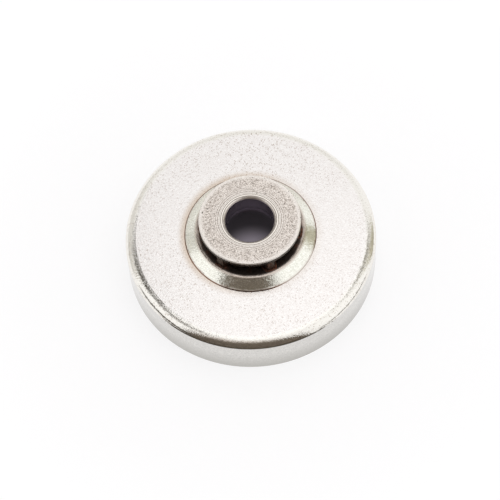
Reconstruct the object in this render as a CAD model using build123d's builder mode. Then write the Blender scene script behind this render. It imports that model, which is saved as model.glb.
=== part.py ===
from build123d import *
import os
from math import acos, asin, cos, degrees, pi, radians, sin

# Clutch drum of a chainsaw, with the spur sprocket that drives the chain brazed on its floor.
# Millimetres. The drum stands on its open rim: Z = 0 is the rim plane, +Z runs along the axis
# towards the sprocket, and one sprocket tooth points along +X.

# Drum, drawn from sheet steel
drum_diameter = 72.0  # turned outside wall, where the brake band runs
drum_height = 13.5  # rim to the outer face of the floor
wall_thickness = 2.0
floor_thickness = 2.0
bend_radius = 3.4  # drawn corner between floor and wall, outside
inner_corner = 1.4  # the same corner inside, where the punch leaves a flat slope
turning_allowance = 0.3  # turned off the drawn wall, so the corner ends in a crisp edge
rim_lead_in = 0.5  # chamfer inside the rim, where the clutch shoes go in
rim_edge_break = 0.25  # chamfer outside the rim

# Chain that the sprocket drives
chain_pitch = 9.525  # half the span of three rivets
strap_drop = 3.9  # rivet centre down to the edge of the tie straps that rides on the tooth tips
tang_depth = 5.0  # room for the drive links' tangs below the tooth tips
chain_space = 4.3  # between flange and guard washer

# Star of teeth
tooth_count = 6
tip_width = 2.2
tip_round = 0.3
gullet_floor_width = 4.4
gullet_round = 2.0

# Bevelled flange under the teeth
flange_height = 2.65
flange_land = 0.4  # upright edge below the bevel
bevel_run = 2.7  # how far the bevel reaches outwards
shoulder_step = 1.1  # how far past the guard washer bevel and flat top would meet, were they not rounded
shoulder_round = 2.3

# Bore for the needle bearing, neck round it and spigot that centres the sprocket in the drum
bore_diameter = 14.0
bore_chamfer = 0.6
neck_wall = 1.6
recess_step = 1.5  # relief at the drum end of the bore, wider than the bore by this all round
recess_reach = 0.7  # how far the relief reaches past the drum's outer face
spigot_wall = 2.0
spigot_overhang = 0.4  # past the floor's inner face
spigot_chamfer = 0.3

# Guard washer on the teeth
washer_thickness = 1.35
washer_margin = 0.1  # past the tooth tips
washer_edge_break = 0.3

# Brazed joints
braze_gap = 0.05  # round the spigot and round the neck
braze_width = 0.5  # copper fillet along the flange's foot

# Radii and heights that follow
drum_radius = drum_diameter / 2
pitch_radius = chain_pitch / 2 / sin(pi / 2 / tooth_count)  # two links of the chain to each tooth
tip_radius = pitch_radius - strap_drop
root_radius = tip_radius - tang_depth
washer_radius = tip_radius + washer_margin
shoulder_radius = washer_radius + shoulder_step
flange_radius = shoulder_radius + bevel_run
bore_radius = bore_diameter / 2
neck_radius = bore_radius + neck_wall
recess_radius = bore_radius + recess_step
spigot_radius = recess_radius + spigot_wall
floor_z = drum_height - floor_thickness
spigot_end_z = floor_z - spigot_overhang
recess_end_z = drum_height + recess_reach
flange_top_z = drum_height + flange_height
washer_seat_z = flange_top_z + chain_space
top_z = washer_seat_z + washer_thickness

os.makedirs("parts", exist_ok=True)

# Drum: drawn cup, turned outside, with a hole in the floor for the sprocket's spigot
inner_radius = drum_radius - wall_thickness
pilot_radius = spigot_radius + braze_gap
bend_centre_r = drum_radius + turning_allowance - bend_radius
bend_centre_z = drum_height - bend_radius
edge_angle = acos((drum_radius - bend_centre_r) / bend_radius)  # bend's slope where the turned wall cuts it
edge_z = bend_centre_z + bend_radius * sin(edge_angle)

with BuildPart() as drum_cup:
    with BuildSketch(Plane.XZ) as cup_section:
        with BuildLine():
            Line((pilot_radius, drum_height), (bend_centre_r, drum_height))
            CenterArc((bend_centre_r, bend_centre_z), bend_radius, 90, degrees(edge_angle) - 90)
            Polyline(
                (drum_radius, edge_z),
                (drum_radius, 0),
                (inner_radius, 0),
                (inner_radius, floor_z),
                (pilot_radius, floor_z),
                (pilot_radius, drum_height),
            )
        make_face()
        chamfer(cup_section.vertices().sort_by_distance((inner_radius, floor_z))[0], inner_corner)
        chamfer(cup_section.vertices().sort_by_distance((inner_radius, 0))[0], rim_lead_in)
        chamfer(cup_section.vertices().sort_by_distance((drum_radius, 0))[0], rim_edge_break)
    revolve(axis=Axis.Z)
drum_cup.part.label = "drum_cup"
export_step(drum_cup.part, "parts/drum_cup.step")

# Sprocket: spigot, bevelled flange, star of teeth and neck, sintered as one piece
half_pitch = 180 / tooth_count
mouth_angle = radians(half_pitch) - asin(tip_width / 2 / tip_radius)  # gullet's middle to a tooth's tip
mouth_x = tip_radius * cos(mouth_angle)
mouth_y = tip_radius * sin(mouth_angle)
past_tips = tip_radius + tang_depth

with BuildPart() as drive_sprocket:
    with BuildSketch(Plane.XZ) as hub_section:
        with BuildLine():
            Polyline(
                (0, spigot_end_z),
                (spigot_radius, spigot_end_z),
                (spigot_radius, drum_height),
                (flange_radius, drum_height),
                (flange_radius, drum_height + flange_land),
                (shoulder_radius, flange_top_z),
                (neck_radius, flange_top_z),
                (neck_radius, top_z),
                (0, top_z),
                close=True,
            )
        make_face()
        chamfer(hub_section.vertices().sort_by_distance((spigot_radius, spigot_end_z))[0], spigot_chamfer)
        fillet(hub_section.vertices().sort_by_distance((shoulder_radius, flange_top_z))[0], shoulder_round)
    revolve(axis=Axis.Z)

    with BuildSketch(Plane.XY.offset(flange_top_z)) as star:
        Circle(tip_radius)
        with PolarLocations(0, tooth_count, start_angle=half_pitch):
            Polygon(
                (root_radius, -gullet_floor_width / 2),
                (mouth_x, -mouth_y),
                (past_tips, -mouth_y),
                (past_tips, mouth_y),
                (mouth_x, mouth_y),
                (root_radius, gullet_floor_width / 2),
                align=None,
                mode=Mode.SUBTRACT,
            )
        fillet(star.vertices().group_by(SortBy.DISTANCE)[0], gullet_round)
        fillet(star.vertices().group_by(SortBy.DISTANCE)[-1], tip_round)
    extrude(amount=chain_space)

    with BuildSketch(Plane.XZ):
        with BuildLine():
            Polyline(
                (0, spigot_end_z),
                (recess_radius, spigot_end_z),
                (recess_radius, recess_end_z),
                (bore_radius, recess_end_z),
                (bore_radius, top_z - bore_chamfer),
                (bore_radius + bore_chamfer, top_z),
                (0, top_z),
                close=True,
            )
        make_face()
    revolve(axis=Axis.Z, mode=Mode.SUBTRACT)
drive_sprocket.part.label = "drive_sprocket"
export_step(drive_sprocket.part, "parts/drive_sprocket.step")

# Guard washer: flat ring over the neck, brazed on the teeth, flush with the neck's end
washer_hole_radius = neck_radius + braze_gap

with BuildPart() as guard_washer:
    with BuildSketch(Plane.XY.offset(washer_seat_z)):
        Circle(washer_radius)
        Circle(washer_hole_radius, mode=Mode.SUBTRACT)
    extrude(amount=washer_thickness)
    top_rim = guard_washer.faces().sort_by(Axis.Z)[-1].edges().sort_by(SortBy.RADIUS)[-1]
    chamfer(top_rim, washer_edge_break)
guard_washer.part.label = "guard_washer"
export_step(guard_washer.part, "parts/guard_washer.step")

# Braze: copper fillet where the flange's upright edge meets the drum's floor
with BuildPart() as flange_braze:
    with BuildSketch(Plane.XZ):
        with BuildLine():
            Polyline(
                (flange_radius, drum_height),
                (flange_radius + braze_width, drum_height),
                (flange_radius, drum_height + flange_land),
                close=True,
            )
        make_face()
    revolve(axis=Axis.Z)
flange_braze.part.label = "flange_braze"
export_step(flange_braze.part, "parts/flange_braze.step")
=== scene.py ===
from math import cos, pi, radians, sin

import bmesh
import bpy
from mathutils import Matrix, Vector


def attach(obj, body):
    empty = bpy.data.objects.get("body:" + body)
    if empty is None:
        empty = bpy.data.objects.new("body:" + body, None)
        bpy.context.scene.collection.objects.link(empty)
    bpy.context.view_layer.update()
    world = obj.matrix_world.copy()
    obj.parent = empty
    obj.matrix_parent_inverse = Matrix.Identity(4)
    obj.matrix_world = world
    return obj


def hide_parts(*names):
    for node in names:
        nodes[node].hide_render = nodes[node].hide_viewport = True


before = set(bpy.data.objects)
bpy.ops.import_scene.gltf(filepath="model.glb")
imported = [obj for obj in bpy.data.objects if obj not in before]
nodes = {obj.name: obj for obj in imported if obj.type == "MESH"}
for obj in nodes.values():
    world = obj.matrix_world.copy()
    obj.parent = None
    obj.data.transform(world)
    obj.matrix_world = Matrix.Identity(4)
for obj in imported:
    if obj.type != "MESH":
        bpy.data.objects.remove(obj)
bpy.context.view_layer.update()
mm = 0.001
print("frame loaded:", ", ".join(sorted(nodes)))


def linearColour(hexCode):
    # sRGB hex to the linear colour that a shader socket takes
    parts = [int(hexCode[i:i + 2], 16) / 255 for i in (0, 2, 4)]
    return [p / 12.92 if p <= 0.04045 else ((p + 0.055) / 1.055) ** 2.4 for p in parts] + [1.0]


def addNode(tree, kind, settings=None, links=None):
    # settings go to the node's own property of that name, or else to the input of that name or number;
    # a Mix node's inputs go by number: 0 is its share, 2 and 3 are values, 6 and 7 are colours
    node = tree.nodes.new(kind)
    for key, value in (settings or {}).items():
        if isinstance(key, str) and hasattr(node, key):
            setattr(node, key, value)
        else:
            node.inputs[key].default_value = value
    for key, socket in (links or {}).items():
        tree.links.new(socket, node.inputs[key])
    return node


def newMaterial(name):
    material = bpy.data.materials.new(name)
    material.use_nodes = True
    material.node_tree.nodes.clear()
    return material, material.node_tree


def placeOn(tree):
    # place on the part in millimetres
    place = addNode(tree, "ShaderNodeTexCoord").outputs["Object"]
    return addNode(tree, "ShaderNodeVectorMath", {"operation": "SCALE", "Scale": 1 / mm},
                   {0: place}).outputs[0]


def roundAxis(tree, point):
    # distance from the axis and height above the rim, in millimetres
    flat = addNode(tree, "ShaderNodeVectorMath", {"operation": "MULTIPLY", 1: (1, 1, 0)},
                   {0: point}).outputs[0]
    radius = addNode(tree, "ShaderNodeVectorMath", {"operation": "LENGTH"}, {0: flat}).outputs["Value"]
    height = addNode(tree, "ShaderNodeSeparateXYZ", None, {0: point}).outputs["Z"]
    return radius, height


def sideOf(tree, point, way):
    # 1 on the side that the direction points to, -1 across the axis from there
    flat = addNode(tree, "ShaderNodeVectorMath", {"operation": "MULTIPLY", 1: (1, 1, 0)},
                   {0: point}).outputs[0]
    outwards = addNode(tree, "ShaderNodeVectorMath", {"operation": "NORMALIZE"}, {0: flat}).outputs[0]
    return addNode(tree, "ShaderNodeVectorMath", {"operation": "DOT_PRODUCT", 1: way},
                   {0: outwards}).outputs["Value"]


def ownLean(tree, grains):
    # a direction of its own for each grain, from the grain's random colour
    return addNode(tree, "ShaderNodeVectorMath", {"operation": "SUBTRACT", 1: (0.5, 0.5, 0.5)},
                   {0: grains}).outputs[0]


def leaningNormal(tree, lean):
    # the surface's own normal, tilted by so much
    normal = addNode(tree, "ShaderNodeNewGeometry").outputs["Normal"]
    tilted = addNode(tree, "ShaderNodeVectorMath", {"operation": "ADD"}, {0: normal, 1: lean}).outputs[0]
    return addNode(tree, "ShaderNodeVectorMath", {"operation": "NORMALIZE"}, {0: tilted}).outputs[0]


def dress(node, material):
    node.data.materials.clear()
    node.data.materials.append(material)


# Satin nickel on drawn steel, tumbled before plating: near white on the flat with a fine brown speckle,
# grainy on the bend where each reflection breaks up, and turned smooth on the wall where the brake runs.
# Sizes are in millimetres. The real grain is about 0.05 mm: it is drawn coarser, so that it shows
drum = {
    "flat": "F4F1EF", "flatShade": "E9E4E1", "bend": "F3F0EA", "bendFrom": 32.6, "bendTo": 33.8,
    "wall": "E1DFDB", "wallShade": "D0CECA", "wallFrom": 35.93, "edgeHeight": 11.5,
    # painted shade: the wall's foot is darker, for the table's shadow that it mirrors
    "paintedShadeWallFoot": "B8B6B1", "footFade": 7.5,
    "speck": "8A6C50", "speckFrom": 0.84, "speckTo": 0.96, "speckMost": 0.58, "wallSpecks": 0.2,
    "patch": 20.0, "patchFrom": 0.35, "patchTo": 0.65, "patchLeast": 0.3,
    "stainSide": (-0.959, 0.280, 0.0),  # specks and stain are thicker there
    "thickFrom": -0.8, "thickTo": 0.6, "thickLeast": 0.5, "thickMost": 0.85,
    "stain": "A8803E", "stainFrom": 19.0, "stainTo": 21.4,
    "creepFrom": -0.5, "creepTo": 0.7, "creepLeast": 0.12, "creepMost": 0.42,
    "grain": 0.42, "grainHeight": 0.060, "flatGrain": 0.35,
    "edgeGrain": 0.3, "grainFrom": 34.4, "grainTo": 35.6,
    "cell": 0.29, "flatTilt": 0.01, "bendTilt": 0.085, "edgeTilt": 0.02,
    "line": 0.60, "lineHeight": 0.020, "flatRoughness": 0.17, "bendRoughness": 0.11,
}


def satinNickel():
    material, tree = newMaterial("satin_nickel_on_drawn_steel")
    point = placeOn(tree)
    radius, height = roundAxis(tree, point)
    side = sideOf(tree, point, drum["stainSide"])
    grain = addNode(tree, "ShaderNodeTexNoise", {"Scale": 1 / drum["grain"], "Detail": 2.0,
                    "Roughness": 0.6}, {"Vector": point}).outputs[0]
    grains = addNode(tree, "ShaderNodeTexVoronoi", {"Scale": 1 / drum["cell"]},
                     {"Vector": point}).outputs["Color"]
    cells = addNode(tree, "ShaderNodeSeparateColor", None, {0: grains})
    patches = addNode(tree, "ShaderNodeTexNoise", {"Scale": 1 / drum["patch"], "Detail": 2.0},
                      {"Vector": point}).outputs[0]

    onBend = addNode(tree, "ShaderNodeMapRange", {"interpolation_type": "SMOOTHSTEP",
                     "From Min": drum["bendFrom"], "From Max": drum["bendTo"]}, {"Value": radius}).outputs[0]
    outside = addNode(tree, "ShaderNodeMath", {"operation": "GREATER_THAN", 1: drum["wallFrom"]},
                      {0: radius}).outputs[0]
    below = addNode(tree, "ShaderNodeMath", {"operation": "LESS_THAN", 1: drum["edgeHeight"]},
                    {0: height}).outputs[0]
    onWall = addNode(tree, "ShaderNodeMath", {"operation": "MULTIPLY"}, {0: outside, 1: below}).outputs[0]
    byEdge = addNode(tree, "ShaderNodeMapRange", {"From Min": drum["grainFrom"], "From Max": drum["grainTo"]},
                     {"Value": radius}).outputs[0]

    # flat and wall are mottled grain by grain, the bend is plain, the wall darkens towards the rim with
    # painted shade
    colour = addNode(tree, "ShaderNodeMix", {"data_type": "RGBA", 6: linearColour(drum["flat"]),
                     7: linearColour(drum["flatShade"])}, {0: cells.outputs["Red"]}).outputs[2]
    colour = addNode(tree, "ShaderNodeMix", {"data_type": "RGBA", 7: linearColour(drum["bend"])},
                     {0: onBend, 6: colour}).outputs[2]
    wall = addNode(tree, "ShaderNodeMix", {"data_type": "RGBA", 6: linearColour(drum["wall"]),
                   7: linearColour(drum["wallShade"])}, {0: cells.outputs["Red"]}).outputs[2]
    upWall = addNode(tree, "ShaderNodeMapRange", {"From Max": drum["footFade"]}, {"Value": height}).outputs[0]
    wall = addNode(tree, "ShaderNodeMix", {"data_type": "RGBA", 6: linearColour(drum["paintedShadeWallFoot"])},
                   {0: upWall, 7: wall}).outputs[2]
    colour = addNode(tree, "ShaderNodeMix", {"data_type": "RGBA"}, {0: onWall, 6: colour, 7: wall}).outputs[2]

    # brown specks, thicker in some patches than in others and on one side, few on the turned wall
    specks = addNode(tree, "ShaderNodeMapRange", {"From Min": drum["speckFrom"], "From Max": drum["speckTo"],
                     "To Max": drum["speckMost"]}, {"Value": cells.outputs["Green"]}).outputs[0]
    inPatch = addNode(tree, "ShaderNodeMapRange", {"From Min": drum["patchFrom"], "From Max": drum["patchTo"],
                      "To Min": drum["patchLeast"]}, {"Value": patches}).outputs[0]
    thicker = addNode(tree, "ShaderNodeMapRange", {"From Min": drum["thickFrom"], "From Max": drum["thickTo"],
                      "To Min": drum["thickLeast"], "To Max": drum["thickMost"]}, {"Value": side}).outputs[0]
    offWall = addNode(tree, "ShaderNodeMapRange", {"To Min": 1.0, "To Max": drum["wallSpecks"]},
                      {"Value": onWall}).outputs[0]
    for share in (inPatch, thicker, offWall):
        specks = addNode(tree, "ShaderNodeMath", {"operation": "MULTIPLY"}, {0: specks, 1: share}).outputs[0]
    colour = addNode(tree, "ShaderNodeMix", {"data_type": "RGBA", 7: linearColour(drum["speck"])},
                     {0: specks, 6: colour}).outputs[2]

    # copper that crept out from under the sprocket's flange, more on that side
    creep = addNode(tree, "ShaderNodeMapRange", {"From Min": drum["creepFrom"], "From Max": drum["creepTo"],
                    "To Min": drum["creepLeast"], "To Max": drum["creepMost"]}, {"Value": side}).outputs[0]
    byFlange = addNode(tree, "ShaderNodeMapRange", {"interpolation_type": "SMOOTHSTEP",
                       "From Min": drum["stainTo"], "From Max": drum["stainFrom"]},
                       {"Value": radius}).outputs[0]
    stain = addNode(tree, "ShaderNodeMath", {"operation": "MULTIPLY"}, {0: byFlange, 1: creep}).outputs[0]
    colour = addNode(tree, "ShaderNodeMix", {"data_type": "RGBA", 7: linearColour(drum["stain"])},
                     {0: stain, 6: colour}).outputs[2]

    # the grain stands up on the bend, less on the flat and by the edge; the tool's lines run round the wall
    grainShare = addNode(tree, "ShaderNodeMapRange", {"To Min": drum["flatGrain"]},
                         {"Value": onBend}).outputs[0]
    offEdge = addNode(tree, "ShaderNodeMapRange", {"To Min": 1.0, "To Max": drum["edgeGrain"]},
                      {"Value": byEdge}).outputs[0]
    for share in (grainShare, offEdge):
        grain = addNode(tree, "ShaderNodeMath", {"operation": "MULTIPLY"}, {0: grain, 1: share}).outputs[0]
    across = addNode(tree, "ShaderNodeCombineXYZ", None, {"Z": height}).outputs[0]
    lines = addNode(tree, "ShaderNodeTexNoise", {"Scale": 1 / drum["line"], "Detail": 2.0},
                    {"Vector": across}).outputs[0]
    lines = addNode(tree, "ShaderNodeMath", {"operation": "MULTIPLY",
                    1: drum["lineHeight"] / drum["grainHeight"]}, {0: lines}).outputs[0]
    surface = addNode(tree, "ShaderNodeMix", {"data_type": "FLOAT"},
                      {0: onWall, 2: grain, 3: lines}).outputs[0]

    # each grain is a facet with a tilt of its own, so that a reflection's edge breaks up into specks
    tilt = addNode(tree, "ShaderNodeMapRange", {"To Min": drum["flatTilt"], "To Max": drum["bendTilt"]},
                   {"Value": onBend}).outputs[0]
    tilt = addNode(tree, "ShaderNodeMix", {"data_type": "FLOAT", 3: drum["edgeTilt"]},
                   {0: byEdge, 2: tilt}).outputs[0]
    lean = addNode(tree, "ShaderNodeVectorMath", {"operation": "SCALE"},
                   {0: ownLean(tree, grains), "Scale": tilt}).outputs[0]
    bump = addNode(tree, "ShaderNodeBump", {"Strength": 1.0, "Distance": drum["grainHeight"] * mm},
                   {"Height": surface, "Normal": leaningNormal(tree, lean)})

    roughness = addNode(tree, "ShaderNodeMapRange", {"To Min": drum["flatRoughness"],
                        "To Max": drum["bendRoughness"]}, {"Value": onBend}).outputs[0]
    shader = addNode(tree, "ShaderNodeBsdfPrincipled", {"Metallic": 1.0},
                     {"Base Color": colour, "Roughness": roughness, "Normal": bump.outputs[0]})
    addNode(tree, "ShaderNodeOutputMaterial", None, {"Surface": shader.outputs[0]})
    return material


dress(nodes["drum_cup"], satinNickel())
print("drum dressed in satin nickel")


# Sintered steel after brazing: a pale greenish bevel with a pinkish shoulder, burnt dark brown between the
# teeth, partly furnace colour and partly painted shade under the washer, with a little copper on it, a bright
# neck end with turned rings and a bore painted darker inwards as painted shade. Sizes are in millimetres. Its
# grain too is drawn coarser than the real one, so that it shows
sprocket = {
    "bevel": "FFFEF6", "bevelShade": "E4E3D8",
    "shoulder": "CCC0B6", "shoulderFrom": 16.4, "shoulderTo": 15.4,
    "crispFrom": 16.35, "crispTo": 15.45, "crispDrop": 0.12,
    # the burnt colour is partly furnace colour and partly painted shade in the gap under the washer
    "burntAndShaded": "564B44", "burntAndShadedFrom": 15.5, "burntAndShadedTo": 14.7, "smear": 1.2, "flangeTop": 16.05,
    "copper": "764E3E", "copperFrom": 0.54, "copperTo": 0.68, "copperMost": 0.7, "patch": 2.6,
    "neck": "FFF8F0", "neckShade": "80766F", "neckFrom": 20.5, "ring": 0.56, "neckGrain": 0.3,
    "lip": "B8AEA6", "lipFrom": 7.42, "lipTo": 7.22,
    # painted shade: the bore fades from this colour to the under colour downwards, which stays in the relief
    # and under the spigot
    "bore": "9B929C", "boreRadius": 7.05, "boreFade": 17.5,
    "under": "423C3E", "relief": 14.25, "spigot": 11.0,
    "grain": 0.34, "grainHeight": 0.040, "cell": 0.25, "tilt": 0.075,
    "roughness": 0.14, "burntRoughness": 0.44,
}


def sinteredSteel():
    material, tree = newMaterial("sintered_steel_brazed")
    point = placeOn(tree)
    radius, height = roundAxis(tree, point)
    grain = addNode(tree, "ShaderNodeTexNoise", {"Scale": 1 / sprocket["grain"], "Detail": 2.0,
                    "Roughness": 0.6}, {"Vector": point}).outputs[0]
    grains = addNode(tree, "ShaderNodeTexVoronoi", {"Scale": 1 / sprocket["cell"]},
                     {"Vector": point}).outputs["Color"]
    cells = addNode(tree, "ShaderNodeSeparateColor", None, {0: grains})
    patches = addNode(tree, "ShaderNodeTexNoise", {"Scale": 1 / sprocket["patch"], "Detail": 3.0},
                      {"Vector": point}).outputs[0]

    # the bevel is mottled grain by grain and pinkish at its shoulder
    onShoulder = addNode(tree, "ShaderNodeMapRange", {"interpolation_type": "SMOOTHSTEP",
                         "From Min": sprocket["shoulderFrom"], "From Max": sprocket["shoulderTo"]},
                         {"Value": radius}).outputs[0]
    colour = addNode(tree, "ShaderNodeMix", {"data_type": "RGBA", 6: linearColour(sprocket["bevel"]),
                     7: linearColour(sprocket["bevelShade"])}, {0: cells.outputs["Red"]}).outputs[2]
    colour = addNode(tree, "ShaderNodeMix", {"data_type": "RGBA", 7: linearColour(sprocket["shoulder"])},
                     {0: onShoulder, 6: colour}).outputs[2]

    # the burnt zone round the teeth, partly furnace colour and partly painted shade under the washer, ends in
    # an uneven smear on the shoulder
    smear = addNode(tree, "ShaderNodeMapRange", {"To Min": -sprocket["smear"] / 2,
                    "To Max": sprocket["smear"] / 2}, {"Value": patches}).outputs[0]
    smeared = addNode(tree, "ShaderNodeMath", {"operation": "ADD"}, {0: radius, 1: smear}).outputs[0]
    withinTeeth = addNode(tree, "ShaderNodeMapRange", {"From Min": sprocket["burntAndShadedFrom"],
                          "From Max": sprocket["burntAndShadedTo"]}, {"Value": smeared}).outputs[0]
    aboveFlange = addNode(tree, "ShaderNodeMath", {"operation": "GREATER_THAN", 1: sprocket["flangeTop"]},
                          {0: height}).outputs[0]
    burntAndShaded = addNode(tree, "ShaderNodeMath", {"operation": "MULTIPLY"},
                    {0: aboveFlange, 1: withinTeeth}).outputs[0]
    copper = addNode(tree, "ShaderNodeMapRange", {"From Min": sprocket["copperFrom"],
                     "From Max": sprocket["copperTo"], "To Max": sprocket["copperMost"]},
                     {"Value": patches}).outputs[0]
    heatAndShade = addNode(tree, "ShaderNodeMix", {"data_type": "RGBA", 6: linearColour(sprocket["burntAndShaded"]),
                   7: linearColour(sprocket["copper"])}, {0: copper}).outputs[2]
    colour = addNode(tree, "ShaderNodeMix", {"data_type": "RGBA"}, {0: burntAndShaded, 6: colour, 7: heatAndShade}).outputs[2]

    # turned rings on the neck's end, a dull lip round the bore
    turns = addNode(tree, "ShaderNodeMath", {"operation": "MULTIPLY", 1: 2 * pi / sprocket["ring"]},
                    {0: radius}).outputs[0]
    rings = addNode(tree, "ShaderNodeMath", {"operation": "SINE"}, {0: turns}).outputs[0]
    darkRing = addNode(tree, "ShaderNodeMapRange", {"From Max": -1.0}, {"Value": rings}).outputs[0]
    neck = addNode(tree, "ShaderNodeMix", {"data_type": "RGBA", 6: linearColour(sprocket["neck"]),
                   7: linearColour(sprocket["neckShade"])}, {0: darkRing}).outputs[2]
    onLip = addNode(tree, "ShaderNodeMapRange", {"From Min": sprocket["lipFrom"],
                    "From Max": sprocket["lipTo"]}, {"Value": radius}).outputs[0]
    neck = addNode(tree, "ShaderNodeMix", {"data_type": "RGBA", 7: linearColour(sprocket["lip"])},
                   {0: onLip, 6: neck}).outputs[2]
    onNeck = addNode(tree, "ShaderNodeMath", {"operation": "GREATER_THAN", 1: sprocket["neckFrom"]},
                     {0: height}).outputs[0]
    colour = addNode(tree, "ShaderNodeMix", {"data_type": "RGBA"}, {0: onNeck, 6: colour, 7: neck}).outputs[2]

    # painted shade: the bore darkens on its way down, and stays dark in the relief and under the spigot
    downBore = addNode(tree, "ShaderNodeMapRange", {"From Min": sprocket["boreFade"],
                       "From Max": sprocket["relief"]}, {"Value": height}).outputs[0]
    bore = addNode(tree, "ShaderNodeMix", {"data_type": "RGBA", 6: linearColour(sprocket["bore"]),
                   7: linearColour(sprocket["under"])}, {0: downBore}).outputs[2]
    inBore = addNode(tree, "ShaderNodeMath", {"operation": "LESS_THAN", 1: sprocket["boreRadius"]},
                     {0: radius}).outputs[0]
    colour = addNode(tree, "ShaderNodeMix", {"data_type": "RGBA"}, {0: inBore, 6: colour, 7: bore}).outputs[2]
    inRelief = addNode(tree, "ShaderNodeMath", {"operation": "LESS_THAN", 1: sprocket["relief"]},
                       {0: height}).outputs[0]
    inSpigot = addNode(tree, "ShaderNodeMath", {"operation": "LESS_THAN", 1: sprocket["spigot"]},
                       {0: radius}).outputs[0]
    under = addNode(tree, "ShaderNodeMath", {"operation": "MULTIPLY"}, {0: inRelief, 1: inSpigot}).outputs[0]
    colour = addNode(tree, "ShaderNodeMix", {"data_type": "RGBA", 7: linearColour(sprocket["under"])},
                     {0: under, 6: colour}).outputs[2]

    # the shoulder breaks more crisply than its round; the grains are facets, as on the drum
    grainShare = addNode(tree, "ShaderNodeMapRange", {"To Min": 1.0, "To Max": sprocket["neckGrain"]},
                         {"Value": onNeck}).outputs[0]
    surface = addNode(tree, "ShaderNodeMath", {"operation": "MULTIPLY"}, {0: grain, 1: grainShare}).outputs[0]
    crisp = addNode(tree, "ShaderNodeMapRange", {"interpolation_type": "SMOOTHSTEP",
                    "From Min": sprocket["crispFrom"], "From Max": sprocket["crispTo"],
                    "To Max": sprocket["crispDrop"] / sprocket["grainHeight"]}, {"Value": radius}).outputs[0]
    surface = addNode(tree, "ShaderNodeMath", {"operation": "ADD"}, {0: surface, 1: crisp}).outputs[0]
    lean = addNode(tree, "ShaderNodeVectorMath", {"operation": "SCALE", "Scale": sprocket["tilt"]},
                   {0: ownLean(tree, grains)}).outputs[0]
    bump = addNode(tree, "ShaderNodeBump", {"Strength": 1.0, "Distance": sprocket["grainHeight"] * mm},
                   {"Height": surface, "Normal": leaningNormal(tree, lean)})

    roughness = addNode(tree, "ShaderNodeMapRange", {"To Min": sprocket["roughness"],
                        "To Max": sprocket["burntRoughness"]}, {"Value": burntAndShaded}).outputs[0]
    shader = addNode(tree, "ShaderNodeBsdfPrincipled", {"Metallic": 1.0},
                     {"Base Color": colour, "Roughness": roughness, "Normal": bump.outputs[0]})
    addNode(tree, "ShaderNodeOutputMaterial", None, {"Surface": shader.outputs[0]})
    return material


dress(nodes["drive_sprocket"], sinteredSteel())
print("sprocket dressed in sintered steel")


# Stamped steel, matt from the brazing furnace: pinkish grey with an even fine grain, drawn coarser than the
# real one, turned rings by the neck, a few dark pits, a pale lip and a polished rim painted dark as painted
# shade for the dark it mirrors. Sizes are in millimetres
washer = {
    "face": "F8F0E9", "shade": "9A8D83", "cell": 0.21, "speckleFrom": 0.25,
    "grain": 0.32, "grainHeight": 0.008,
    "ring": 0.56, "ringMost": 0.7, "hubFrom": 10.9, "hubTo": 9.0,
    "pale": "FAF4EE", "lipFrom": 13.1, "lipTo": 14.0, "lipMost": 0.75,
    "pit": "4A403A", "pitSize": 0.7, "pitFrom": 0.76, "pitTo": 0.80, "pitMost": 0.8,
    # the rim's dark colour is painted shade for the dark it mirrors; the burnt underside is partly painted
    # shade under the washer
    "rim": "4C4541", "rimFrom": 14.57, "burntAndShaded": "463C36", "underside": 20.6,
    "roughness": 0.42, "rimRoughness": 0.22,
}


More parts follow.
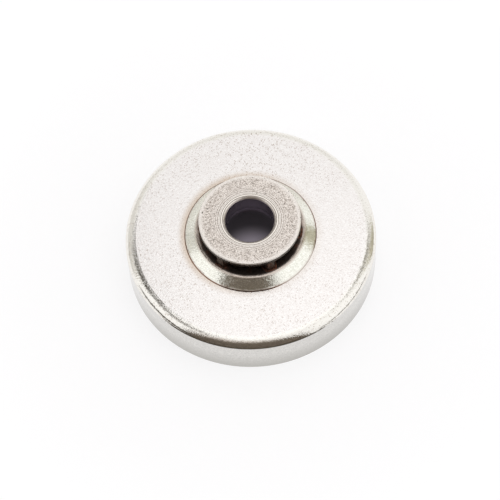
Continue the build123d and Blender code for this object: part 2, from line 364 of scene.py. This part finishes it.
def stampedSteel():
    material, tree = newMaterial("stamped_steel_furnace_matt")
    point = placeOn(tree)
    radius, height = roundAxis(tree, point)
    grains = addNode(tree, "ShaderNodeTexVoronoi", {"Scale": 1 / washer["cell"]},
                     {"Vector": point}).outputs["Color"]
    cells = addNode(tree, "ShaderNodeSeparateColor", None, {0: grains})
    speckle = addNode(tree, "ShaderNodeMapRange", {"From Min": washer["speckleFrom"]},
                      {"Value": cells.outputs["Red"]}).outputs[0]
    colour = addNode(tree, "ShaderNodeMix", {"data_type": "RGBA", 6: linearColour(washer["face"]),
                     7: linearColour(washer["shade"])}, {0: speckle}).outputs[2]

    # turned rings by the neck, dark and pale in turn, which fade outwards, and a pale lip
    turns = addNode(tree, "ShaderNodeMath", {"operation": "MULTIPLY", 1: 2 * pi / washer["ring"]},
                    {0: radius}).outputs[0]
    rings = addNode(tree, "ShaderNodeMath", {"operation": "SINE"}, {0: turns}).outputs[0]
    hub = addNode(tree, "ShaderNodeMapRange", {"From Min": washer["hubFrom"], "From Max": washer["hubTo"]},
                  {"Value": radius}).outputs[0]
    darkRing = addNode(tree, "ShaderNodeMapRange", {"To Max": washer["ringMost"]},
                       {"Value": rings}).outputs[0]
    darkRing = addNode(tree, "ShaderNodeMath", {"operation": "MULTIPLY"}, {0: hub, 1: darkRing}).outputs[0]
    colour = addNode(tree, "ShaderNodeMix", {"data_type": "RGBA", 7: linearColour(washer["shade"])},
                     {0: darkRing, 6: colour}).outputs[2]
    paleRing = addNode(tree, "ShaderNodeMapRange", {"From Max": -1.0}, {"Value": rings}).outputs[0]
    paleRing = addNode(tree, "ShaderNodeMath", {"operation": "MULTIPLY"}, {0: hub, 1: paleRing}).outputs[0]
    lip = addNode(tree, "ShaderNodeMapRange", {"interpolation_type": "SMOOTHSTEP",
                  "From Min": washer["lipFrom"], "From Max": washer["lipTo"], "To Max": washer["lipMost"]},
                  {"Value": radius}).outputs[0]
    pale = addNode(tree, "ShaderNodeMath", {"operation": "MAXIMUM"}, {0: paleRing, 1: lip}).outputs[0]
    colour = addNode(tree, "ShaderNodeMix", {"data_type": "RGBA", 7: linearColour(washer["pale"])},
                     {0: pale, 6: colour}).outputs[2]

    # a few dark pits
    pits = addNode(tree, "ShaderNodeTexNoise", {"Scale": 1 / washer["pitSize"], "Detail": 0.0},
                   {"Vector": point}).outputs[0]
    pits = addNode(tree, "ShaderNodeMapRange", {"From Min": washer["pitFrom"], "From Max": washer["pitTo"],
                   "To Max": washer["pitMost"]}, {"Value": pits}).outputs[0]
    colour = addNode(tree, "ShaderNodeMix", {"data_type": "RGBA", 7: linearColour(washer["pit"])},
                     {0: pits, 6: colour}).outputs[2]

    # polished rim painted dark, as painted shade for the dark it mirrors, and a dark underside, partly burnt
    # and partly painted shade under the washer
    onRim = addNode(tree, "ShaderNodeMath", {"operation": "GREATER_THAN", 1: washer["rimFrom"]},
                    {0: radius}).outputs[0]
    colour = addNode(tree, "ShaderNodeMix", {"data_type": "RGBA", 7: linearColour(washer["rim"])},
                     {0: onRim, 6: colour}).outputs[2]
    under = addNode(tree, "ShaderNodeMath", {"operation": "LESS_THAN", 1: washer["underside"]},
                    {0: height}).outputs[0]
    colour = addNode(tree, "ShaderNodeMix", {"data_type": "RGBA", 7: linearColour(washer["burntAndShaded"])},
                     {0: under, 6: colour}).outputs[2]

    grain = addNode(tree, "ShaderNodeTexNoise", {"Scale": 1 / washer["grain"], "Detail": 1.0},
                    {"Vector": point}).outputs[0]
    bump = addNode(tree, "ShaderNodeBump", {"Strength": 1.0, "Distance": washer["grainHeight"] * mm},
                   {"Height": grain})
    roughness = addNode(tree, "ShaderNodeMapRange", {"To Min": washer["roughness"],
                        "To Max": washer["rimRoughness"]}, {"Value": onRim}).outputs[0]
    shader = addNode(tree, "ShaderNodeBsdfPrincipled", {"Metallic": 1.0},
                     {"Base Color": colour, "Roughness": roughness, "Normal": bump.outputs[0]})
    addNode(tree, "ShaderNodeOutputMaterial", None, {"Surface": shader.outputs[0]})
    return material


dress(nodes["guard_washer"], stampedSteel())
print("washer dressed in stamped steel")


def moveVertex(bm, mesh, vertex, target):
    # takes one vertex of the mesh in edit mode to its place, given in millimetres
    for v in bm.verts:
        v.select = v is vertex
    bm.select_flush_mode()
    bmesh.update_edit_mesh(mesh)
    bpy.ops.transform.translate(value=Vector(target) * mm - vertex.co)


# Braze along the flange's foot: it carries on the bevel, plated like it, and ends in a brown line that is
# fainter on one side. Sizes are in millimetres
bead = {
    "foot": 18.36, "floor": 13.47, "width": 0.64, "height": 0.46, "bulge": 0.9, "cuts": 5, "steps": 288,
    "weld": 0.005, "lump": 1.6, "unevenness": 0.06, "smoothBelow": radians(50),
    "plated": "ECE9E1", "brown": "6A3A12", "brownFrom": 18.62, "brownTo": 18.78, "roughness": 0.20,
    "patch": 1.4, "bareFrom": 0.50, "bareTo": 0.70, "bareMost": 0.6,
    "cleanSide": (0.855, -0.519, 0.0), "cleanFrom": 0.86, "cleanTo": 0.97, "cleanLeast": 0.45,
}


def platedBraze():
    material, tree = newMaterial("copper_braze_plated_over")
    point = placeOn(tree)
    radius, _ = roundAxis(tree, point)
    patches = addNode(tree, "ShaderNodeTexNoise", {"Scale": 1 / bead["patch"], "Detail": 3.0},
                      {"Vector": point}).outputs[0]
    edge = addNode(tree, "ShaderNodeMapRange", {"From Min": bead["brownFrom"], "From Max": bead["brownTo"]},
                   {"Value": radius}).outputs[0]
    bare = addNode(tree, "ShaderNodeMapRange", {"From Min": bead["bareFrom"], "From Max": bead["bareTo"],
                   "To Max": bead["bareMost"]}, {"Value": patches}).outputs[0]
    brown = addNode(tree, "ShaderNodeMath", {"operation": "MAXIMUM"}, {0: edge, 1: bare}).outputs[0]
    side = sideOf(tree, point, bead["cleanSide"])
    kept = addNode(tree, "ShaderNodeMapRange", {"From Min": bead["cleanFrom"], "From Max": bead["cleanTo"],
                   "To Min": 1.0, "To Max": bead["cleanLeast"]}, {"Value": side}).outputs[0]
    brown = addNode(tree, "ShaderNodeMath", {"operation": "MULTIPLY"}, {0: brown, 1: kept}).outputs[0]
    colour = addNode(tree, "ShaderNodeMix", {"data_type": "RGBA", 6: linearColour(bead["plated"]),
                     7: linearColour(bead["brown"])}, {0: brown}).outputs[2]
    shader = addNode(tree, "ShaderNodeBsdfPrincipled", {"Metallic": 1.0, "Roughness": bead["roughness"]},
                     {"Base Color": colour})
    addNode(tree, "ShaderNodeOutputMaterial", None, {"Surface": shader.outputs[0]})
    return material


def pourBead():
    # section from the flange's edge down to the drum's floor, as radius and height
    section = [(bead["foot"], bead["floor"])]
    for cut in range(bead["cuts"] + 1):
        out = cut / bead["cuts"]
        up = (1 - out) ** bead["bulge"]
        section.append((bead["foot"] + bead["width"] * out, bead["floor"] + bead["height"] * up))
    bpy.ops.object.select_all(action="DESELECT")
    bpy.ops.mesh.primitive_circle_add(vertices=len(section), radius=mm, fill_type="NOTHING")
    piece = bpy.context.object
    piece.name = "flange_braze_bead"
    bpy.ops.object.mode_set(mode="EDIT")
    bm = bmesh.from_edit_mesh(piece.data)
    for vertex, (out, up) in zip(list(bm.verts), section):
        moveVertex(bm, piece.data, vertex, (out, 0, up))
    bpy.ops.mesh.select_all(action="SELECT")
    bpy.ops.mesh.spin(steps=bead["steps"], angle=2 * pi, center=(0, 0, 0), axis=(0, 0, 1))
    bpy.ops.mesh.select_all(action="SELECT")
    bpy.ops.mesh.remove_doubles(threshold=bead["weld"] * mm)
    bpy.ops.mesh.normals_make_consistent(inside=False)
    bpy.ops.object.mode_set(mode="OBJECT")
    lumps = bpy.data.textures.new("bead_lumps", "CLOUDS")
    lumps.noise_scale = bead["lump"] * mm
    wander = piece.modifiers.new("wander", "DISPLACE")
    wander.texture = lumps
    wander.strength = bead["unevenness"] * mm
    bpy.ops.object.modifier_apply(modifier="wander")
    bpy.ops.object.shade_smooth_by_angle(angle=bead["smoothBelow"])
    dress(piece, platedBraze())
    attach(piece, "root")
    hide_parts("flange_braze")


pourBead()
print("bead poured along the flange's foot")


# Copper that crept along the teeth: a collar at each tooth's foot and one under the washer, furnace dark with
# a few redder patches. Sizes are in millimetres
collar = {
    "teeth": 6, "tip": 14.42, "tipHalf": 1.1, "inner": 10.4, "innerHalf": 2.45, "side": 0.60, "rise": 0.65,
    "footTip": 0.72, "footHeight": 16.13, "headTip": 0.10, "headHeight": 20.47,
    "hollow": ((0.0, 0.0), (0.3, 0.62), (1.0, 1.1)),  # share of the rise, and how far it is drawn in there
    "cuts": 2, "lumps": 0.05, "seed": 7, "smoothing": 0.4, "smoothBelow": radians(50),
    "dark": "382A23", "copper": "70493A", "patch": 1.2, "copperFrom": 0.40, "copperTo": 0.65,
    "roughness": 0.45,
}


def burntCopper():
    material, tree = newMaterial("copper_braze_furnace_dark")
    patches = addNode(tree, "ShaderNodeTexNoise", {"Scale": 1 / collar["patch"], "Detail": 3.0},
                      {"Vector": placeOn(tree)}).outputs[0]
    copper = addNode(tree, "ShaderNodeMapRange", {"From Min": collar["copperFrom"],
                     "From Max": collar["copperTo"]}, {"Value": patches}).outputs[0]
    colour = addNode(tree, "ShaderNodeMix", {"data_type": "RGBA", 6: linearColour(collar["dark"]),
                     7: linearColour(collar["copper"])}, {0: copper}).outputs[2]
    shader = addNode(tree, "ShaderNodeBsdfPrincipled", {"Metallic": 1.0, "Roughness": collar["roughness"]},
                     {"Base Color": colour})
    addNode(tree, "ShaderNodeOutputMaterial", None, {"Surface": shader.outputs[0]})
    return material


def mouldCollar(tipReach, base, rise):
    # the tooth's outline, wider all round, drawn in on its way up or down the tooth
    middle = (collar["inner"] + collar["tip"]) / 2
    bpy.ops.object.select_all(action="DESELECT")
    bpy.ops.mesh.primitive_plane_add(size=mm)
    piece = bpy.context.object
    bpy.ops.object.mode_set(mode="EDIT")
    bm = bmesh.from_edit_mesh(piece.data)
    for level, (up, drawnIn) in enumerate(collar["hollow"]):
        if level:
            for face in bm.faces:
                face.select = all(v in ring for v in face.verts)
            bmesh.update_edit_mesh(piece.data)
            bpy.ops.mesh.extrude_region_move(TRANSFORM_OT_translate={"value": (0, 0, rise * up * mm)})
        ring = [v for v in bm.verts if v.select]
        for vertex in ring:
            atTip = vertex.co.x > (middle * mm if level else 0)  # the first ring still lies round the origin
            out = collar["tip"] + tipReach * (1 - drawnIn) if atTip else collar["inner"]
            half = (collar["tipHalf"] if atTip else collar["innerHalf"]) + collar["side"] * (1 - drawnIn)
            moveVertex(bm, piece.data, vertex, (out, half if vertex.co.y > 0 else -half, base + rise * up))
        for v in bm.verts:
            v.select = v in ring
        bm.select_flush_mode()
        bmesh.update_edit_mesh(piece.data)
    bpy.ops.mesh.select_all(action="SELECT")
    bpy.ops.mesh.normals_make_consistent(inside=False)
    bpy.ops.mesh.subdivide(number_cuts=collar["cuts"])
    bpy.ops.transform.vertex_random(offset=collar["lumps"] * mm, seed=collar["seed"])
    bpy.ops.mesh.vertices_smooth(factor=collar["smoothing"])
    bpy.ops.object.mode_set(mode="OBJECT")
    return piece


def brazeTeeth():
    foot = mouldCollar(collar["footTip"], collar["footHeight"], collar["rise"])
    first = mouldCollar(collar["headTip"], collar["headHeight"], -collar["rise"])
    foot.select_set(True)
    bpy.ops.object.join()
    bpy.ops.object.shade_smooth_by_angle(angle=collar["smoothBelow"])
    dress(first, burntCopper())
    pieces = [first]
    while len(pieces) < collar["teeth"]:
        piece = first.copy()
        piece.data = first.data.copy()
        bpy.context.collection.objects.link(piece)
        pieces.append(piece)
    bpy.context.view_layer.update()
    for tooth, piece in enumerate(pieces):
        piece.name = "tooth_braze_%d" % (tooth + 1)
        bpy.ops.object.select_all(action="DESELECT")
        piece.select_set(True)
        bpy.context.view_layer.objects.active = piece
        piece.rotation_euler.z = 2 * pi * tooth / collar["teeth"]
        bpy.ops.object.transform_apply(location=False, rotation=True, scale=False)
        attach(piece, "root")


brazeTeeth()
print("teeth brazed:", collar["teeth"])


# Camera as fitted to the drum's rim, the flange's foot, the washer and the bore
camera = {
    "lens": 173.66, "sensor": 36, "clip": (0.01, 20), "distance": 690.8 * mm, "azimuth": radians(8.75),
    "elevation": radians(61.035), "roll": radians(-3.509), "flatHeight": 13.5 * mm,
    "drop": 4.735 * mm, "aside": 0.144 * mm,  # the drum sits a little above the picture's middle
}
rightWay = Vector((cos(camera["azimuth"]), sin(camera["azimuth"]), 0))
frontWay = Vector((sin(camera["azimuth"]), -cos(camera["azimuth"]), 0))
upWay = Vector((0, 0, 1))


def inView(across, towards, up):
    # a point given from the camera's side: to the right, towards the camera, above the table
    return rightWay * across + frontWay * towards + upWay * up


def placeCamera():
    data = bpy.data.cameras.new("studio_camera")
    data.lens = camera["lens"]
    data.sensor_width = camera["sensor"]
    data.clip_start, data.clip_end = camera["clip"]
    cam = bpy.data.objects.new("studio_camera", data)
    bpy.context.collection.objects.link(cam)
    back = inView(0, cos(camera["elevation"]), sin(camera["elevation"]))
    up = back.cross(rightWay)
    right = rightWay * cos(camera["roll"]) + up * sin(camera["roll"])
    up = back.cross(right)
    flatCentre = upWay * camera["flatHeight"]
    eye = flatCentre + back * camera["distance"]
    aim = flatCentre - up * camera["drop"] - right * camera["aside"]
    look = (eye - aim).normalized()
    up = look.cross(right).normalized()
    right = up.cross(look)
    cam.matrix_world = Matrix.Translation(eye) @ Matrix((right, up, look)).transposed().to_4x4()
    bpy.context.scene.camera = cam


placeCamera()
print("camera placed")


# Softboxes over the table and at its sides, as (across, towards, up) in metres from the camera's side
softboxes = {
    "over": {"at": (0.02, -0.16, 0.80), "aim": (0.02, -0.16, 0.0), "size": (0.50, 0.56), "strength": 0.20},
    "left": {"at": (-0.75, 0.05, 0.42), "aim": (0.0, 0.05, 0.0), "size": (0.90, 0.75), "strength": 0.08},
    "right": {"at": (0.72, 0.15, 0.45), "aim": (0.0, 0.15, 0.0), "size": (1.00, 0.90), "strength": 0.08},
}


def facing(at, aim, level):
    # stands at a point, looks at another, with its width along the level direction
    away = (at - aim).normalized()
    side = (level - away * level.dot(away)).normalized()
    return Matrix.Translation(at) @ Matrix((side, away.cross(side), away)).transposed().to_4x4()


def hangSoftbox(name, box):
    data = bpy.data.lights.new("softbox_" + name, "AREA")
    data.shape = "RECTANGLE"
    data.size, data.size_y = box["size"]
    data.energy = pi * data.size * data.size_y * box["strength"]  # strength 1 alone would mirror as white
    lamp = bpy.data.objects.new("softbox_" + name, data)
    bpy.context.collection.objects.link(lamp)
    level = rightWay if name == "over" else frontWay
    lamp.matrix_world = facing(inView(*box["at"]), inView(*box["aim"]), level)
    lamp.visible_camera = False


for name, box in softboxes.items():
    hangSoftbox(name, box)
print("softboxes hung:", len(softboxes))

# White tent round the table, open towards the camera; it shows as plain white and is mirrored as such
tent = {"cloth": "FFFFFF", "strength": 1.0}


def raiseTent():
    world = bpy.data.worlds.new("white_tent")
    world.use_nodes = True
    bpy.context.scene.world = world
    tree = world.node_tree
    tree.nodes.clear()
    light = addNode(tree, "ShaderNodeBackground",
                    {"Color": linearColour(tent["cloth"]), "Strength": tent["strength"]})
    addNode(tree, "ShaderNodeOutputWorld", None, {"Surface": light.outputs[0]})


raiseTent()
print("tent raised")

# What the metal mirrors besides the white tent: its opening with the dark floor before it, and the seams and
# posts between its panels. Each is given by its four corners, as (across, towards, up) in metres
cards = {
    "opening": {"colour": "736A60", "fade": (0.62, 1.58), "fadeColour": "EBE4DF", "corners": (
        (-0.90, 0.75, 0.0), (0.56, 0.75, 0.0), (0.20, 0.75, 1.95), (-0.80, 0.75, 2.30))},
    "sillFront": {"colour": "5A544C", "corners": (
        (-1.30, 0.76, 0.0), (-0.85, 0.76, 0.0), (-0.85, 0.76, 0.14), (-1.30, 0.76, 0.14))},
    "sillLeft": {"colour": "6A635A", "corners": (
        (-0.98, 0.00, 0.0), (-0.68, 0.70, 0.0), (-0.68, 0.70, 0.19), (-0.98, 0.00, 0.19))},
    "sillRight": {"colour": "857F77", "corners": (
        (0.98, 0.00, 0.0), (0.68, 0.70, 0.0), (0.68, 0.70, 0.09), (0.98, 0.00, 0.09))},
    "apron": {"colour": "5A544C", "onlyMirrored": True, "corners": (
        (-0.09, 0.045, 0.002), (0.055, 0.045, 0.002), (0.50, 0.755, 0.002), (-0.75, 0.755, 0.002))},
    "seamLeft": {"colour": "4C463A", "corners": (
        (-0.12, -0.46, 0.80), (-0.12, -0.32, 0.80), (-0.57, -0.02, 0.80), (-0.95, -0.48, 0.80))},
    "seamFront": {"colour": "7C746C", "corners": (
        (-0.34, -0.14, 0.81), (-0.30, -0.02, 0.81), (-0.26, 0.28, 0.81), (-0.62, 0.16, 0.81))},
    "seamRight": {"colour": "9E9A88", "corners": (
        (0.32, -0.44, 0.80), (0.28, -0.26, 0.80), (0.50, -0.06, 0.80), (0.95, -0.48, 0.80))},
    "backLeft": {"colour": "B4AE9A", "veil": 0.66, "corners": (
        (-0.98, -0.17, 0.0), (-0.50, -0.87, 0.0), (-0.50, -0.87, 0.90), (-0.98, -0.17, 0.90))},
    "back": {"colour": "B4AE9A", "veil": 0.85, "corners": (
        (-0.50, -0.90, 0.0), (0.70, -0.90, 0.0), (0.70, -0.90, 0.84), (-0.50, -0.90, 0.84))},
    "postLeft": {"colour": "A9A592", "veil": 0.80, "corners": (
        (-0.88, -0.12, 0.0), (-0.76, -0.44, 0.0), (-0.76, -0.44, 0.60), (-0.88, -0.12, 0.60))},
    "postRight": {"colour": "D2CEB8", "corners": (
        (0.92, -0.15, 0.0), (0.80, -0.47, 0.0), (0.80, -0.47, 0.85), (0.92, -0.15, 0.85))},
}


def hangCard(name, card):
    bpy.ops.object.select_all(action="DESELECT")
    bpy.ops.mesh.primitive_plane_add(size=mm)
    sheet = bpy.context.object
    sheet.name = "card_" + name
    bpy.ops.object.mode_set(mode="EDIT")
    bm = bmesh.from_edit_mesh(sheet.data)
    bm.faces.ensure_lookup_table()
    for vertex, corner in zip(list(bm.faces[0].verts), card["corners"]):
        moveVertex(bm, sheet.data, vertex, inView(*corner) / mm)
    bpy.ops.object.mode_set(mode="OBJECT")
    material, tree = newMaterial("card_" + name)
    cloth = addNode(tree, "ShaderNodeBsdfDiffuse", {"Color": linearColour(card["colour"])})
    if "fade" in card:  # paler towards its top, between these heights in metres
        fadeFrom, fadeTo = card["fade"]
        place = addNode(tree, "ShaderNodeTexCoord").outputs["Object"]
        up = addNode(tree, "ShaderNodeSeparateXYZ", None, {0: place}).outputs["Z"]
        share = addNode(tree, "ShaderNodeMapRange", {"interpolation_type": "SMOOTHSTEP", "From Min": fadeFrom,
                        "From Max": fadeTo}, {"Value": up}).outputs[0]
        colour = addNode(tree, "ShaderNodeMix", {"data_type": "RGBA", 6: linearColour(card["colour"]),
                         7: linearColour(card["fadeColour"])}, {0: share}).outputs[2]
        tree.links.new(colour, cloth.inputs["Color"])
    if "veil" in card:  # thin cloth, which lets this share of the light through
        clear = addNode(tree, "ShaderNodeBsdfTransparent")
        cloth = addNode(tree, "ShaderNodeMixShader", {0: card["veil"]},
                        {1: cloth.outputs[0], 2: clear.outputs[0]})
    addNode(tree, "ShaderNodeOutputMaterial", None, {"Surface": cloth.outputs[0]})
    dress(sheet, material)
    sheet.visible_camera = False
    if "onlyMirrored" in card:  # it takes no light from the table
        sheet.visible_diffuse = False
        sheet.visible_shadow = False


for name, card in cards.items():
    hangCard(name, card)
print("cards hung:", len(cards))

# White table: it takes the part's shadow near the part, and is plain white further off. Under the drum it is
# painted: a painted pool of light that glows below the bore, fading to painted shade. Sizes are in metres
table = {
    "radius": 3.0, "sides": 96, "drop": 0.02 * mm, "colour": "F4F3F6", "share": 0.30, "glow": 0.77,
    "underDrum": 33.0 * mm, "rim": 36.0 * mm, "near": 0.055, "far": 0.11,
    # painted light: the spot below the bore is a painted pool of light, the dark round it painted shade, both
    # glowing
    "paintedLightSpot": "EADFEE", "spotFrom": 3.5 * mm, "spotTo": 11.0 * mm, "spotGlow": 0.14,
    "dark": "6A636A", "darkGlow": 0.015,
}


def layTable():
    bpy.ops.object.select_all(action="DESELECT")
    bpy.ops.mesh.primitive_circle_add(vertices=table["sides"], radius=table["radius"], fill_type="NGON",
                                      location=(0, 0, -table["drop"]))
    top = bpy.context.object
    top.name = "table_top"
    material, tree = newMaterial("white_table")
    place = addNode(tree, "ShaderNodeTexCoord").outputs["Object"]
    reach = addNode(tree, "ShaderNodeVectorMath", {"operation": "LENGTH"}, {0: place}).outputs["Value"]
    openTable = addNode(tree, "ShaderNodeMapRange", {"From Min": table["underDrum"],
                        "From Max": table["rim"]}, {"Value": reach}).outputs[0]
    farTable = addNode(tree, "ShaderNodeMapRange", {"interpolation_type": "SMOOTHSTEP",
                       "From Min": table["near"], "From Max": table["far"]}, {"Value": reach}).outputs[0]
    offSpot = addNode(tree, "ShaderNodeMapRange", {"interpolation_type": "SMOOTHSTEP",
                      "From Min": table["spotFrom"], "From Max": table["spotTo"]},
                      {"Value": reach}).outputs[0]

    # white where it is looked at or mirrored
    ray = addNode(tree, "ShaderNodeLightPath").outputs
    seen = addNode(tree, "ShaderNodeMath", {"operation": "MAXIMUM"},
                   {0: ray["Is Camera Ray"], 1: ray["Is Glossy Ray"]}).outputs[0]
    seen = addNode(tree, "ShaderNodeMath", {"operation": "MAXIMUM"},
                   {0: seen, 1: ray["Is Transmission Ray"]}).outputs[0]
    openSeen = addNode(tree, "ShaderNodeMath", {"operation": "MULTIPLY"}, {0: openTable, 1: seen}).outputs[0]
    glow = addNode(tree, "ShaderNodeMapRange", {"To Min": table["glow"]}, {"Value": farTable}).outputs[0]
    glow = addNode(tree, "ShaderNodeMath", {"operation": "MULTIPLY"}, {0: glow, 1: openSeen}).outputs[0]
    glowing = addNode(tree, "ShaderNodeEmission", None, {"Strength": glow})

    # the rest of its white is what the lamps give, with the shadow in it
    shadow = addNode(tree, "ShaderNodeMapRange", {"To Min": table["share"], "To Max": 0.0},
                     {"Value": farTable}).outputs[0]
    share = addNode(tree, "ShaderNodeMix", {"data_type": "FLOAT", 2: 1.0},
                    {0: openSeen, 3: shadow}).outputs[0]
    # under the drum: a painted pool of light below the bore, and painted shade round it
    under = addNode(tree, "ShaderNodeMix", {"data_type": "RGBA", 6: linearColour(table["paintedLightSpot"]),
                    7: linearColour(table["dark"])}, {0: offSpot}).outputs[2]
    white = addNode(tree, "ShaderNodeMix", {"data_type": "RGBA", 7: linearColour(table["colour"])},
                    {0: openTable, 6: under}).outputs[2]
    colour = addNode(tree, "ShaderNodeMix", {"data_type": "RGBA", 6: (0, 0, 0, 1)},
                     {0: share, 7: white}).outputs[2]
    lit = addNode(tree, "ShaderNodeBsdfDiffuse", None, {"Color": colour})

    # painted light: the spot below the bore glows, and the painted shade round it glows faintly
    spotGlow = addNode(tree, "ShaderNodeMapRange", {"To Min": table["spotGlow"], "To Max": table["darkGlow"]},
                       {"Value": offSpot}).outputs[0]
    paintedLightSpot = addNode(tree, "ShaderNodeEmission", {"Color": linearColour(table["paintedLightSpot"])}, {"Strength": spotGlow})
    glowing = addNode(tree, "ShaderNodeAddShader", None, {0: glowing.outputs[0], 1: paintedLightSpot.outputs[0]})
    both = addNode(tree, "ShaderNodeAddShader", None, {0: lit.outputs[0], 1: glowing.outputs[0]})
    addNode(tree, "ShaderNodeOutputMaterial", None, {"Surface": both.outputs[0]})
    dress(top, material)


layTable()
bpy.context.scene.view_settings.view_transform = "Standard"
print("table laid")
